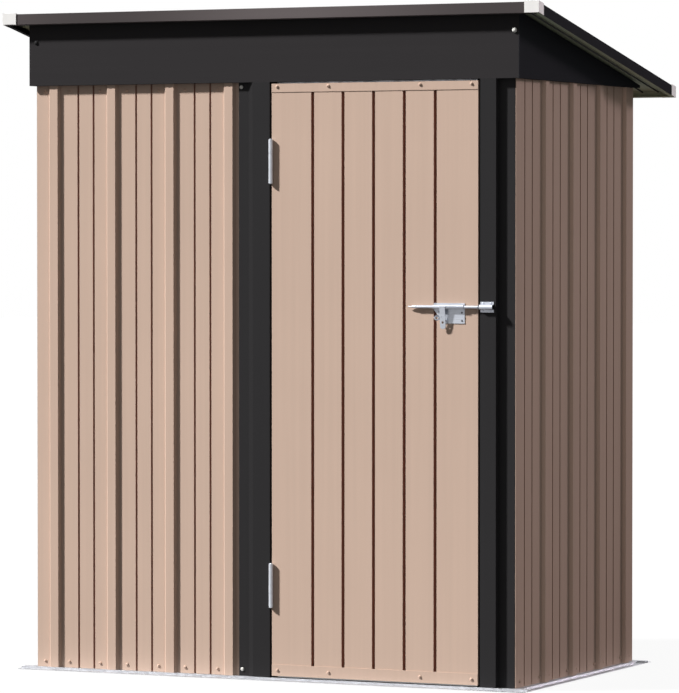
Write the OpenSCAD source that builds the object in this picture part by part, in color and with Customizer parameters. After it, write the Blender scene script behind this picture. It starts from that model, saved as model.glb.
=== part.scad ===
// Metal storage shed with a mono-pitch roof, one hinged door and a sliding bolt.
// X runs along the front, Y runs to the back, Z is up.
// The origin is on the ground, under the middle of the roof.

/* [Walls] */
// Width over the flats of the side walls
wall_w = 1440; // [1300:10:1700]
// Depth over the flats of the front and back walls
wall_d = 845; // [700:5:1100]
// Height of the top of the front and side walls
wall_top_z = 1616; // [1500:2:1750]
// Thickness of every folded sheet
sheet_t = 1.2; // [0.8:0.1:1.6]
// How far posts, fascia and gables stand in front of the wall flats
frame_proud = 15; // [13:0.5:18]

/* [Ribbed sheet] */
// Height of a rib above the flats
rib_h = 9; // [7:0.5:12]
// Width of a rib at its foot
rib_base_w = 37; // [30:1:46]
// Run of a rib's sloping side
rib_run = 6; // [4:0.5:10]
// Pitch of the ribs on the front, the back and the roof
rib_pitch = 180; // [170:1:184]
// Pitch of the ribs on the side walls
side_rib_pitch = 196; // [190:1:202]
// Distance from the left corner to the front wall's first rib
front_rib_start = 39; // [28:1:45]
// Distance from the front corner to a side wall's first rib
side_rib_start = 177; // [160:1:190]
// Width of a narrow groove pressed into the flats
groove_w = 6; // [4:0.5:8]
// Width of a narrow groove at its floor
groove_floor_w = 2.5; // [2:0.5:4]
// Depth of a narrow groove
groove_depth = 4; // [3:0.5:5]
// Step of a lapped sheet's edge from the fold of the crest
lap_inset = 2; // [1:0.5:4]

/* [Door and posts] */
// Width of the door
door_w = 606.2; // [540:0.2:680]
// Depth of the door's folded edges
door_depth = 10; // [9.5:0.1:10]
// Height of the door's lower edge
door_bottom_z = 11.4; // [11.4:0.2:20]
// Gap over the door
door_top_gap = 5; // [5:0.2:8]
// Gap between the door and the right post
latch_gap = 5.8; // [5:0.2:8]
// Gap between the left post and the door
hinge_gap = 6.5; // [6:0.1:10]
// Width of the left post's front face
left_post_face_w = 51.7; // [44:0.1:58]
// Width of the right post's front face
right_post_face_w = 45.4; // [43:0.2:48]
// Width of the recessed strip between the right post's face and the corner
corner_strip_w = 50.8; // [44:0.2:60]
// Width of the left post's flange on the wall panel
post_flange_w = 30; // [25:1:34]
// Run of the bend from the left post's flange to its face
post_bend_run = 18; // [15:1:22]
// Width of the posts' stop lips behind the door
stop_lip_w = 15; // [10:1:18]
// Depth of the right post's fold inside the shed
post_return = 30; // [24:1:36]

/* [Door pressings] */
// Width of a pressed door groove
door_groove_w = 9; // [7:0.5:12]
// Width of a door groove at its floor
door_groove_floor_w = 4.5; // [3:0.5:6]
// Depth of a door groove
door_groove_depth = 7; // [5:0.2:7]
// Spacing of the door grooves
door_groove_pitch = 90; // [84:0.5:95]
// Distance from the hinge edge to the first door groove
door_groove_start = 122.2; // [115:0.2:130]
// Height of the cap channel on the door's upper edge
door_cap_h = 23; // [20:1:28]
// Height of the cap channel on the door's lower edge
door_shoe_h = 31; // [26:1:36]
// Height of a brace on the door's back, behind a hinge
door_brace_h = 40; // [30:1:50]

/* [Roof] */
// Height of the fascia over the walls
fascia_h = 175.8; // [140:0.2:220]
// Height of the gables' back ends over the walls
gable_back_h = 7.6; // [3:0.2:14]
// Reach of the roof past the flats of the front wall
front_overhang = 42; // [36:1:60]
// Reach of the roof past the flats of the back wall
back_overhang = 117; // [80:1:150]
// Reach of the roof past the flats of each side wall
side_overhang = 81; // [70:1:110]
// Height of the roof trim
trim_h = 29; // [27:0.5:36]
// Width of the trim's upper lip
trim_lip_w = 20; // [16:1:26]
// Width of the trim's lower lip
trim_under_w = 12; // [8:1:16]
// Length of a corner cap along the front or back edge
cap_w = 39.8; // [32:0.2:52]
// Length of a corner cap along the side edge
cap_side_w = 30.3; // [28:0.1:44]
// Wall of a corner cap
cap_t = 2; // [1.5:0.1:3]
// Width of the lips of the fascia and gables
crown_lip_w = 25; // [20:1:30]
// Width of the roof beam
beam_w = 40; // [30:1:60]
// Height of the roof beam
beam_h = 30; // [20:1:40]

/* [Base and rails] */
// Reach of the base flange from the wall flats
base_reach = 41; // [36:1:50]
// Reach of the step that the wall sheets stand on
base_step_w = 18; // [17:0.5:22]
// Height of that step
base_step_z = 6.2; // [5:0.1:6.4]
// Height of the rail's upright behind the sheets
base_web_top_z = 40; // [32:1:50]
// Height of a wall rail
rail_h = 30; // [24:1:40]
// Depth of a wall rail
rail_depth = 20; // [16:1:26]
// Height of the middle rails
mid_rail_z = 800; // [700:5:900]

/* [Hinges] */
// Length of a hinge
hinge_len = 118.4; // [100:0.2:140]
// Diameter of a hinge barrel
barrel_d = 12.2; // [10:0.1:12.4]
// Diameter of a hinge pin
pin_d = 6; // [5:0.1:7]
// Clearance of the pin in its bore, all round
pin_clear = 0.05; // [0.03:0.01:0.08]
// Distance of the pin from the door's face
pin_proud = 6.4; // [6.3:0.1:9]
// Thickness of a hinge leaf
leaf_t = 1.2; // [1:0.1:2]
// Distance from the door's upper edge to the middle of the upper hinge
hinge_top_inset = 209; // [120:1:300]
// Distance from the door's lower edge to the middle of the lower hinge
hinge_bottom_inset = 244.6; // [120:0.2:320]

/* [Bolt] */
// Diameter of the bolt
bolt_d = 8; // [7:0.1:8.4]
// Length of the bolt
bolt_len = 202; // [190:1:210]
// Height of the bolt
bolt_z = 1013; // [950:1:1080]
// Length of the bolt's tapered end
bolt_taper_len = 20; // [10:1:22]
// Diameter of the tapered end's blunt point
bolt_point_d = 2.4; // [1:0.1:4]
// Travel of the bolt
bolt_travel = 50; // [49:0.5:51]
// Reach of the shot bolt past the keeper
bolt_reach = 7.2; // [4:0.2:7.6]
// Clearance of the bolt in its sleeve, all round
bolt_clear = 0.3; // [0.2:0.05:0.5]
// Clearance of the bolt's handle in the sleeve's slot and before the sleeve
slot_clear = 0.8; // [0.5:0.1:1.2]
// Thickness of the case, the handle and the keeper
latch_t = 1.5; // [1.2:0.1:2]
// Length of the case along the bolt
case_len = 89; // [86:1:95]
// Rise of the case plate above the middle of the bolt
case_rise = 10; // [8:0.5:14]
// Drop of the case plate below the middle of the bolt
case_drop = 44; // [38:1:50]
// Distance from the case to the door's free edge
case_inset = 38; // [34:1:42]
// Width of the cut at the case plate's lower corner
case_cut_w = 31; // [26:1:32]
// Height of the cut at the case plate's lower corner
case_cut_h = 35.5; // [30:0.5:37]
// Width of the padlock ear on that cut
ear_w = 15; // [13:0.5:16]
// Length of the padlock ear
ear_len = 18; // [16:0.5:20]
// Angle by which the ear is bent out of the plate
ear_bend = 55; // [45:1:70]
// Width of the bolt's handle
handle_w = 16; // [13:0.5:17]
// Length of the handle below the bolt
handle_len = 60; // [54:1:64]
// Angle by which the handle leans to the door
handle_lean = 6; // [4:0.5:6]
// Distance from the case's end to the middle of the handle of the shot bolt
handle_inset = 10; // [9:0.5:11]
// Diameter of the padlock holes
eye_d = 7; // [6:0.1:8]
// Width of the keeper along the bolt
keeper_w = 38; // [30:1:40]
// Height of the keeper over its feet
keeper_h = 28; // [26:1:34]
// Clearance of the bolt in the keeper, all round
keeper_clear = 1.6; // [1.2:0.1:1.7]

/* [Hidden] */
$fn = 48;

// Clear space between pieces that are fitted over each other
fit_gap = 0.2;
// Clear space between the knuckles of a hinge
knuckle_gap = 0.5;
// Overrun of every cut
over = 5;
// Places of the two grooves on the flat between two ribs, and of those on the side walls
groove_shares = [0.382, 0.715];
side_groove_shares = [0.26, 0.584];
// Length of each outer knuckle of a hinge
outer_knuckle_share = 0.32;
// Places of the padlock holes along the handle
eye_shares = [0.47, 0.7];
door_grooves = 5;
white_cap = [0.93, 0.93, 0.91];
tan_paint = [0.78, 0.69, 0.61];
black_paint = [0.19, 0.19, 0.2];
zinc = [0.78, 0.79, 0.81];

half_w = wall_w / 2;
roof_w = wall_w + 2 * side_overhang;
roof_d = front_overhang + wall_d + back_overhang;
front_y = -roof_d / 2 + front_overhang;
back_y = front_y + wall_d;
crown_half_w = half_w + frame_proud;
face_y = front_y - frame_proud;
crown_end_y = back_y + frame_proud;
rise = (fascia_h - gable_back_h) / (crown_end_y - face_y);
slope = atan(rise);
post_step_x = half_w - corner_strip_w;
right_post_x = post_step_x - right_post_face_w;
door_end_x = right_post_x - latch_gap;
door_x = door_end_x - door_w;
door_top_z = wall_top_z - door_top_gap;
left_post_x = door_x - hinge_gap;
inner_x = half_w - sheet_t;
web_x = inner_x - sheet_t;
// Depth behind the flats at which the backs of the grooves meet the rails
rail_seat = sheet_t + groove_depth;
rail_back = rail_seat + rail_depth;
// Heights over the roof's upper face of the roof sheets' flats and of their lowest backs
roof_flat_w = -sheet_t - rib_h - sheet_t;
roof_under_w = roof_flat_w - rail_seat;
pin_x = door_x;
pin_y = face_y - pin_proud;
hinge_high_z = door_top_z - hinge_top_inset;
hinge_low_z = door_bottom_z + hinge_bottom_inset;
sleeve_r = bolt_d / 2 + bolt_clear + latch_t;
bolt_y = face_y - latch_t / 2 - sleeve_r;
case_end_x = door_end_x - case_inset;
case_x = case_end_x - case_len;
keeper_x = right_post_x + latch_t;
keeper_r = bolt_d / 2 + keeper_clear;
// Places of the drawn bolt's tip and of its handle
tip_x = keeper_x + keeper_w + bolt_reach - bolt_travel;
handle_x = case_end_x - handle_inset - bolt_travel;
// Width of the front wall, and the last whole ribs that fit on the front and on a side
front_wall_w = left_post_x + half_w - left_post_face_w - post_bend_run;
front_last_rib = floor((front_wall_w - post_flange_w - front_rib_start - rib_base_w) / rib_pitch);
side_last_rib = floor((wall_d - side_rib_start - rib_base_w) / side_rib_pitch);
// Ribs on the back wall and on the roof, and the ribs at which their three sheets lap
row_ribs = 1 + floor((wall_w - 2 * rib_base_w) / rib_pitch);
lap_ribs = [floor(row_ribs / 3), floor(2 * row_ribs / 3)];
row_start = (wall_w - (row_ribs - 1) * rib_pitch - rib_base_w) / 2;

// Height of the underside of the roof sheets over a place y
function under_z(y) = wall_top_z + fascia_h - (y - face_y) * rise;

// Height of the roof's upper face over a place y
function roof_z(y) = under_z(y) - roof_under_w / cos(slope);

roof_front_z = roof_z(-roof_d / 2);
roof_back_z = roof_z(roof_d / 2);

// Unit normal on the left of the way from a to b
function left_of(a, b) = let (d = b - a) [-d[1], d[0]] / norm(d);

// Points of a line moved by t to its left, with mitred corners
function moved_left(line, t) = let (n = len(line)) [
    for (i = [0:n - 1])
        let (u = max(i - 1, 0), v = min(i, n - 2))
        let (a = left_of(line[u], line[u + 1]), b = left_of(line[v], line[v + 1]))
        line[i] + t * (a + b) / (1 + a * b)];

// Section of a sheet folded along a line, with its thickness on the line's left
module folded(line, t = sheet_t) {
    inner = moved_left(line, t);
    polygon(concat(line, [for (i = [len(inner) - 1:-1:0]) inner[i]]));
}

// A section in Y and Z carried along X from x0 to x1
module along_x(x0, x1) translate([x0, 0, 0]) rotate([90, 0, 90]) linear_extrude(height = x1 - x0) children();

// A part drawn on the roof's upper face, with Y down the slope and Z square to it
module on_roof() translate([0, -roof_d / 2, roof_front_z]) rotate([-slope, 0, 0]) children();

// One narrow groove, as points on a line whose outer side is negative
function groove(x, w, floor_w, depth) = [
    [x - w / 2, 0], [x - floor_w / 2, depth], [x + floor_w / 2, depth], [x + w / 2, 0]];

// The grooves that fit between x0 and x1 on the flat after the rib at x
function flat_grooves(x, pitch, x0, x1, shares) = [
    for (s = shares)
        let (g = x + rib_base_w + s * (pitch - rib_base_w))
        if (g - groove_w > x0 && g + groove_w < x1)
            each groove(g, groove_w, groove_floor_w, groove_depth)];

// One whole rib that starts at x
function rib(x) = [
    [x, 0], [x + rib_run, -rib_h], [x + rib_base_w - rib_run, -rib_h], [x + rib_base_w, 0]];

// Start of a sheet that laps over the rib at x, and end of one that goes under it
function lap_over(x) = [
    [x + rib_run + lap_inset, -rib_h - sheet_t],
    [x + rib_base_w - rib_run, -rib_h - sheet_t],
    [x + rib_base_w, 0]];
function lap_under(x) = [
    [x, 0], [x + rib_run, -rib_h], [x + rib_base_w - rib_run - lap_inset, -rib_h]];

// Ribbed line from x0 to x1 with whole ribs a to b; its ends lap where a rib stands before a or after b
function ribbed_line(x0, x1, start, pitch, a, b,
                     over_first = false, under_last = false, shares = groove_shares) = concat(
    over_first ? lap_over(start + (a - 1) * pitch) : [[x0, 0]],
    flat_grooves(start + (a - 1) * pitch, pitch, x0, x1, shares),
    [for (k = [a:b])
         let (x = start + k * pitch)
         each concat(rib(x), flat_grooves(x, pitch, x0, x1, shares))],
    under_last ? lap_under(start + (b + 1) * pitch) : [[x1, 0]]);

// One of three lapped sheets that cover a row of ribs, from x0 to x1
function row_line(i, x0, x1) =
    let (first_lap_x = row_start + lap_ribs[0] * rib_pitch, last_lap_x = row_start + lap_ribs[1] * rib_pitch)
    i == 0 ? ribbed_line(x0, first_lap_x, row_start, rib_pitch, 0, lap_ribs[0] - 1, false, true) :
    i == 1 ? ribbed_line(first_lap_x, last_lap_x, row_start, rib_pitch,
                         lap_ribs[0] + 1, lap_ribs[1] - 1, true, true) :
             ribbed_line(last_lap_x, x1, row_start, rib_pitch, lap_ribs[1] + 1, row_ribs - 1, true, false);

// Flange and step of a base rail from x0 to x1, as at the front
module base_flange(x0, x1)
    along_x(x0, x1)
        folded([[rail_seat + sheet_t, base_step_z], [-base_step_w, base_step_z],
                [-base_step_w, sheet_t], [-base_reach, sheet_t]]);

// Upright of a base rail behind the sheets
module base_web(x0, x1)
    translate([x0, rail_seat, base_step_z - sheet_t])
        cube([x1 - x0, sheet_t, base_web_top_z - base_step_z + sheet_t]);

module base_rail_front() color(zinc) translate([0, front_y, 0]) {
    base_flange(-half_w - base_reach, half_w + base_reach);
    base_web(-inner_x, left_post_x + stop_lip_w);
    base_web(right_post_x - stop_lip_w, web_x - sheet_t);
}

module base_rail_back() color(zinc) translate([0, back_y, 0]) rotate([0, 0, 180]) {
    base_flange(-half_w - base_reach, half_w + base_reach);
    base_web(-inner_x, inner_x);
}

module base_rail_right() color(zinc) translate([half_w, front_y, 0]) rotate([0, 0, 90]) {
    base_flange(rail_seat + sheet_t, wall_d - rail_seat - sheet_t);
    base_web(rail_seat + sheet_t, wall_d - rail_seat - sheet_t);
}

module base_rail_left() mirror([1, 0, 0]) base_rail_right();

module front_wall() color(tan_paint)
    translate([-half_w, front_y, base_step_z])
        linear_extrude(height = wall_top_z - base_step_z)
            folded(ribbed_line(sheet_t, front_wall_w, front_rib_start, rib_pitch, 0, front_last_rib));

module right_wall() color(tan_paint)
    translate([half_w, front_y, base_step_z])
        rotate([0, 0, 90])
            linear_extrude(height = wall_top_z - base_step_z)
                folded(ribbed_line(0, wall_d, side_rib_start, side_rib_pitch, 0, side_last_rib,
                                   shares = side_groove_shares));

module left_wall() mirror([1, 0, 0]) right_wall();

module back_sheet(i) color(tan_paint)
    translate([half_w, back_y, base_step_z])
        rotate([0, 0, 180])
            linear_extrude(height = under_z(back_y + rib_h + sheet_t) - base_step_z)
                folded(row_line(i, sheet_t, wall_w - sheet_t));

module back_wall_left() back_sheet(2);
module back_wall_middle() back_sheet(1);
module back_wall_right() back_sheet(0);

module door_post_left() color(black_paint)
    translate([left_post_x, front_y, base_step_z])
        linear_extrude(height = wall_top_z - base_step_z)
            folded([[-left_post_face_w - post_bend_run - post_flange_w, -sheet_t],
                    [-left_post_face_w - post_bend_run, -sheet_t],
                    [-left_post_face_w, -frame_proud], [0, -frame_proud], [0, 0], [stop_lip_w, 0]]);

module corner_post_right() color(black_paint)
    translate([0, front_y, base_step_z])
        linear_extrude(height = wall_top_z - base_step_z)
            folded([[right_post_x - stop_lip_w, 0], [right_post_x, 0], [right_post_x, -frame_proud],
                    [post_step_x, -frame_proud], [post_step_x, 0], [web_x, 0], [web_x, post_return]]);

module fascia() color(black_paint)
    along_x(-crown_half_w + sheet_t, crown_half_w - sheet_t)
        folded([[face_y + crown_lip_w, under_z(face_y + crown_lip_w)], [face_y, under_z(face_y)],
                [face_y, wall_top_z], [face_y + crown_lip_w, wall_top_z]]);

module gable_right() color(black_paint) {
    lip_y = face_y + crown_lip_w;
    along_x(crown_half_w - sheet_t, crown_half_w)
        polygon([[face_y, wall_top_z], [crown_end_y, wall_top_z],
                 [crown_end_y, under_z(crown_end_y)], [face_y, under_z(face_y)]]);
    translate([crown_half_w - crown_lip_w, lip_y, wall_top_z])
        cube([crown_lip_w - sheet_t, back_y - rail_back - lip_y, sheet_t]);
    along_x(crown_half_w - crown_lip_w, crown_half_w - sheet_t)
        polygon([[lip_y, under_z(lip_y)], [lip_y, under_z(lip_y) - sheet_t],
                 [back_y - rail_back, under_z(back_y - rail_back) - sheet_t],
                 [back_y - rail_back, under_z(back_y - rail_back)]]);
}

module gable_left() mirror([1, 0, 0]) gable_right();

// Channel rail behind a wall from x0 to x1 with its upper face at z, as at the front
module wall_rail(x0, x1, z)
    along_x(x0, x1)
        folded([[rail_back, z], [rail_seat, z], [rail_seat, z - rail_h], [rail_back, z - rail_h]]);

module top_rail_front() color(black_paint) translate([0, front_y, 0])
    wall_rail(-inner_x, web_x - sheet_t, wall_top_z);

module top_rail_back() color(black_paint) {
    web_y = back_y - rail_seat;
    along_x(-inner_x, inner_x)
        folded([[web_y - rail_depth, wall_top_z - rail_h], [web_y, wall_top_z - rail_h],
                [web_y, under_z(web_y)], [web_y - rail_depth, under_z(web_y - rail_depth)]]);
}

module top_rail_right() color(black_paint) translate([half_w, front_y, 0]) rotate([0, 0, 90])
    wall_rail(rail_back, wall_d - rail_back, wall_top_z);

module top_rail_left() mirror([1, 0, 0]) top_rail_right();

module mid_rail_right() color(zinc) translate([half_w, front_y, 0]) rotate([0, 0, 90])
    wall_rail(rail_back, wall_d - rail_back, mid_rail_z);

module mid_rail_left() mirror([1, 0, 0]) mid_rail_right();

module mid_rail_back() color(zinc) translate([0, back_y, 0]) rotate([0, 0, 180])
    wall_rail(-inner_x, inner_x, mid_rail_z);

module roof_sheet(i) color(black_paint) {
    end_x = roof_w / 2 - sheet_t - fit_gap;
    clear_y = sheet_t + fit_gap - roof_under_w * sin(slope);
    on_roof()
        translate([0, clear_y / cos(slope), roof_flat_w])
            rotate([-90, 0, 0])
                linear_extrude(height = (roof_d - clear_y - sheet_t - fit_gap) / cos(slope))
                    translate([-half_w, 0])
                        folded(row_line(i, half_w - end_x, half_w + end_x));
}

module roof_sheet_left() roof_sheet(0);
module roof_sheet_middle() roof_sheet(1);
module roof_sheet_right() roof_sheet(2);

module roof_beam() color(zinc)
    on_roof()
        translate([0, roof_d / 2 / cos(slope), roof_under_w])
            along_x(-crown_half_w + crown_lip_w, crown_half_w - crown_lip_w)
                folded([[beam_w / 2, -beam_h], [beam_w / 2, 0], [-beam_w / 2, 0], [-beam_w / 2, -beam_h]]);

// Plan of the roof edge at the front, with mitred ends
module mitre_plan(half_len, edge)
    translate([0, 0, roof_back_z - 2 * trim_h])
        linear_extrude(height = roof_front_z - roof_back_z + 4 * trim_h)
            polygon([[-half_len - over, -edge - over], [half_len + over, -edge - over],
                     [half_len - cap_w, -edge + cap_w], [-half_len + cap_w, -edge + cap_w]]);

module roof_trim_front() color(black_paint) {
    y = -roof_d / 2;
    intersection() {
        along_x(-roof_w / 2, roof_w / 2)
            folded([[y + trim_lip_w, roof_z(y + trim_lip_w)], [y, roof_z(y)],
                    [y, roof_z(y) - trim_h], [y + trim_under_w, roof_z(y + trim_under_w) - trim_h]]);
        mitre_plan(roof_w / 2, roof_d / 2);
    }
}

module roof_trim_back() color(black_paint) {
    y = roof_d / 2;
    intersection() {
        along_x(-roof_w / 2, roof_w / 2)
            folded([[y - trim_under_w, roof_z(y - trim_under_w) - trim_h], [y, roof_z(y) - trim_h],
                    [y, roof_z(y)], [y - trim_lip_w, roof_z(y - trim_lip_w)]]);
        mirror([0, 1, 0]) mitre_plan(roof_w / 2, roof_d / 2);
    }
}

module roof_trim_right() color(black_paint) {
    x = roof_w / 2;
    h = trim_h * cos(slope);
    intersection() {
        on_roof()
            translate([0, roof_d / cos(slope) + trim_h, 0])
                rotate([90, 0, 0])
                    linear_extrude(height = roof_d / cos(slope) + 2 * trim_h)
                        folded([[x - trim_under_w, -h], [x, -h], [x, 0], [x - trim_lip_w, 0]]);
        rotate([0, 0, 90]) mitre_plan(roof_d / 2, roof_w / 2);
    }
}

module roof_trim_left() mirror([1, 0, 0]) roof_trim_right();

// Outer form of the trimmed roof, grown by g above and all round and by below_g underneath
module roof_form(g, below_g) {
    y = roof_d / 2 + g;
    up = g / cos(slope);
    down = trim_h + below_g;
    along_x(-roof_w / 2 - g, roof_w / 2 + g)
        polygon([[-y, roof_z(-y) + up], [-y, roof_z(-y) - down], [y, roof_z(y) - down], [y, roof_z(y) + up]]);
}

// Corner cap at the right, in front or at the back: a lid and two aprons as high as the trim, open below
module roof_cap(y_side) color(white_cap) {
    difference() {
        intersection() {
            roof_form(fit_gap + cap_t, 0);
            translate([roof_w / 2 - cap_w, y_side * roof_d / 2 - cap_side_w, roof_back_z - 2 * trim_h])
                cube([2 * cap_w, 2 * cap_side_w, roof_front_z - roof_back_z + 3 * trim_h]);
        }
        roof_form(fit_gap, over);
    }
}

module roof_cap_front_right() roof_cap(-1);
module roof_cap_back_right() roof_cap(1);
module roof_cap_front_left() mirror([1, 0, 0]) roof_cap(-1);
module roof_cap_back_left() mirror([1, 0, 0]) roof_cap(1);

module door_panel() color(tan_paint)
    translate([door_x, face_y, door_bottom_z + sheet_t])
        linear_extrude(height = door_top_z - door_bottom_z - 2 * sheet_t)
            folded(concat([[0, door_depth], [0, 0]],
                          [for (i = [0:door_grooves - 1])
                               each groove(door_groove_start + i * door_groove_pitch,
                                           door_groove_w, door_groove_floor_w, door_groove_depth)],
                          [[door_w, 0], [door_w, door_depth]]));

module door_top_cap() color(tan_paint)
    along_x(door_x, door_end_x)
        folded([[face_y + door_depth + sheet_t, door_top_z - door_cap_h],
                [face_y + door_depth + sheet_t, door_top_z],
                [face_y - sheet_t, door_top_z], [face_y - sheet_t, door_top_z - door_cap_h]]);

module door_bottom_shoe() color(tan_paint)
    along_x(door_x, door_end_x)
        folded([[face_y - sheet_t, door_bottom_z + door_shoe_h], [face_y - sheet_t, door_bottom_z],
                [face_y + door_depth + sheet_t, door_bottom_z],
                [face_y + door_depth + sheet_t, door_bottom_z + door_shoe_h]]);

module door_braces() color(tan_paint)
    for (z = [hinge_high_z, hinge_low_z])
        translate([door_x + sheet_t, face_y + door_groove_depth + sheet_t, z - door_brace_h / 2])
            cube([door_w - 2 * sheet_t, door_depth - door_groove_depth - sheet_t, door_brace_h]);

// The post's leaf of a hinge with two knuckles and the pin, cut out round the door's knuckle
module hinge_frame_leaf(z) color(zinc) {
    outer = hinge_len * outer_knuckle_share;
    leaf_back = pin_proud + frame_proud;
    translate([pin_x, pin_y, z]) {
        for (s = [-1, 1]) {
            translate([0, 0, s > 0 ? hinge_len / 2 - outer : -hinge_len / 2])
                cylinder(d = barrel_d, h = outer);
            translate([-hinge_gap, -leaf_t / 2, s > 0 ? hinge_len / 2 - outer : -hinge_len / 2])
                cube([hinge_gap, leaf_t, outer]);
        }
        translate([0, 0, -hinge_len / 2]) cylinder(d = pin_d, h = hinge_len);
        along_x(-hinge_gap, leaf_t - hinge_gap)
            polygon([[-leaf_t / 2, -hinge_len / 2], [leaf_back, -hinge_len / 2],
                     [leaf_back, hinge_len / 2], [-leaf_t / 2, hinge_len / 2],
                     [-leaf_t / 2, hinge_len / 2 - outer], [pin_proud, hinge_len / 2 - outer],
                     [pin_proud, outer - hinge_len / 2], [-leaf_t / 2, outer - hinge_len / 2]]);
    }
}

// The door's leaf of a hinge with its knuckle, bored for the pin
module hinge_door_leaf(z) color(zinc) {
    inner = hinge_len * (1 - 2 * outer_knuckle_share) - 2 * knuckle_gap;
    translate([pin_x, pin_y, z])
        difference() {
            union() {
                translate([0, 0, -inner / 2]) cylinder(d = barrel_d, h = inner);
                translate([-leaf_t, 0, -inner / 2]) cube([leaf_t, pin_proud + door_depth, inner]);
            }
            translate([0, 0, -inner]) cylinder(d = pin_d + 2 * pin_clear, h = 2 * inner);
        }
}

module hinge_frame_leaf_upper() hinge_frame_leaf(hinge_high_z);
module hinge_frame_leaf_lower() hinge_frame_leaf(hinge_low_z);
module hinge_door_leaf_upper() hinge_door_leaf(hinge_high_z);
module hinge_door_leaf_lower() hinge_door_leaf(hinge_low_z);

// Outline of a round-ended tab with padlock holes, from its fold to its tip
module tab_plan(w, tab_len, eyes)
    difference() {
        union() {
            translate([-w / 2, 0]) square([w, tab_len - w / 2]);
            translate([0, tab_len - w / 2]) circle(d = w);
        }
        for (y = eyes) translate([0, y]) circle(d = eye_d);
    }

// Padlock ear bent out of the case plate's cut edge, with X along that edge and Z to the door
module padlock_ear()
    translate([0, -latch_t / 2, -latch_t / 2])
        rotate([-ear_bend, 0, 0])
            translate([0, 0, -latch_t / 2])
                linear_extrude(height = latch_t)
                    tab_plan(ear_w, ear_len, [ear_len - ear_w / 2]);

module latch_case() color(zinc) {
    slot_x = handle_x - handle_w / 2 - slot_clear;
    slot_h = latch_t + 2 * slot_clear;
    difference() {
        union() {
            translate([case_x, face_y, bolt_z])
                rotate([90, 0, 0])
                    linear_extrude(height = latch_t)
                        polygon([[0, case_rise], [case_len, case_rise], [case_len, -case_drop],
                                 [case_cut_w, -case_drop], [0, case_cut_h - case_drop]]);
            translate([case_x, bolt_y, bolt_z]) rotate([0, 90, 0]) cylinder(r = sleeve_r, h = case_len);
        }
        translate([case_x - over, bolt_y, bolt_z])
            rotate([0, 90, 0]) cylinder(d = bolt_d + 2 * bolt_clear, h = case_len + 2 * over);
        translate([slot_x, bolt_y - sleeve_r - over, bolt_z - slot_h / 2])
            cube([case_end_x + over - slot_x, sleeve_r + over, slot_h]);
    }
    translate([case_x + case_cut_w / 2, face_y, bolt_z - case_drop + case_cut_h / 2])
        rotate([-90, atan2(case_cut_h, case_cut_w), 0]) padlock_ear();
}

// The bolt with its handle, drawn back clear of the keeper
module latch_bolt() color(zinc) {
    handle_y = bolt_y - sleeve_r - slot_clear - latch_t;
    translate([tip_x - bolt_len + bolt_taper_len, bolt_y, bolt_z])
        rotate([0, 90, 0]) cylinder(d = bolt_d, h = bolt_len - bolt_taper_len);
    translate([tip_x - bolt_len, bolt_y, bolt_z])
        rotate([0, 90, 0]) cylinder(d1 = bolt_point_d, d2 = bolt_d, h = bolt_taper_len);
    translate([handle_x - handle_w / 2, handle_y, bolt_z - latch_t / 2])
        cube([handle_w, bolt_y - handle_y, latch_t]);
    translate([handle_x, handle_y, bolt_z + latch_t / 2])
        rotate([handle_lean - 90, 0, 0])
            linear_extrude(height = latch_t)
                tab_plan(handle_w, handle_len, [for (s = eye_shares) s * handle_len]);
}

module latch_keeper() color(zinc) {
    arch_r = keeper_r + latch_t;
    difference() {
        union() {
            translate([keeper_x, bolt_y, bolt_z]) rotate([0, 90, 0]) cylinder(r = arch_r, h = keeper_w);
            translate([keeper_x, bolt_y, bolt_z - arch_r]) cube([keeper_w, face_y - bolt_y, 2 * arch_r]);
            translate([keeper_x, face_y - latch_t, bolt_z - keeper_h / 2])
                cube([keeper_w, latch_t, keeper_h]);
        }
        translate([keeper_x - over, bolt_y, bolt_z])
            rotate([0, 90, 0]) cylinder(r = keeper_r, h = keeper_w + 2 * over);
        translate([keeper_x - over, bolt_y, bolt_z - keeper_r])
            cube([keeper_w + 2 * over, face_y - bolt_y + over, 2 * keeper_r]);
        translate([keeper_x - over, face_y, bolt_z - keeper_h])
            cube([keeper_w + 2 * over, arch_r, 2 * keeper_h]);
    }
}

base_rail_front();
base_rail_back();
base_rail_left();
base_rail_right();
front_wall();
left_wall();
right_wall();
back_wall_left();
back_wall_middle();
back_wall_right();
door_post_left();
corner_post_right();
fascia();
gable_left();
gable_right();
top_rail_front();
top_rail_back();
top_rail_left();
top_rail_right();
mid_rail_left();
mid_rail_right();
mid_rail_back();
roof_sheet_left();
roof_sheet_middle();
roof_sheet_right();
roof_beam();
roof_trim_front();
roof_trim_back();
roof_trim_left();
roof_trim_right();
roof_cap_front_left();
roof_cap_front_right();
roof_cap_back_left();
roof_cap_back_right();
door_panel();
door_top_cap();
door_bottom_shoe();
door_braces();
hinge_frame_leaf_upper();
hinge_frame_leaf_lower();
hinge_door_leaf_upper();
hinge_door_leaf_lower();
latch_case();
latch_bolt();
latch_keeper();
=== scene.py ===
"""Looks of a small sheet-metal storage shed: paints, zinc, screws, light and camera.

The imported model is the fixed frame. Each sub-assembly below dresses its own nodes with a procedural
finish and adds the fasteners that the solids leave out. Lengths are metres, in the frame's axes:
+X to the right along the front, +Y from front to back, +Z up.
"""

import logging
import math
from dataclasses import dataclass, field, replace
from enum import Enum
from functools import cached_property
from typing import Any

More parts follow.
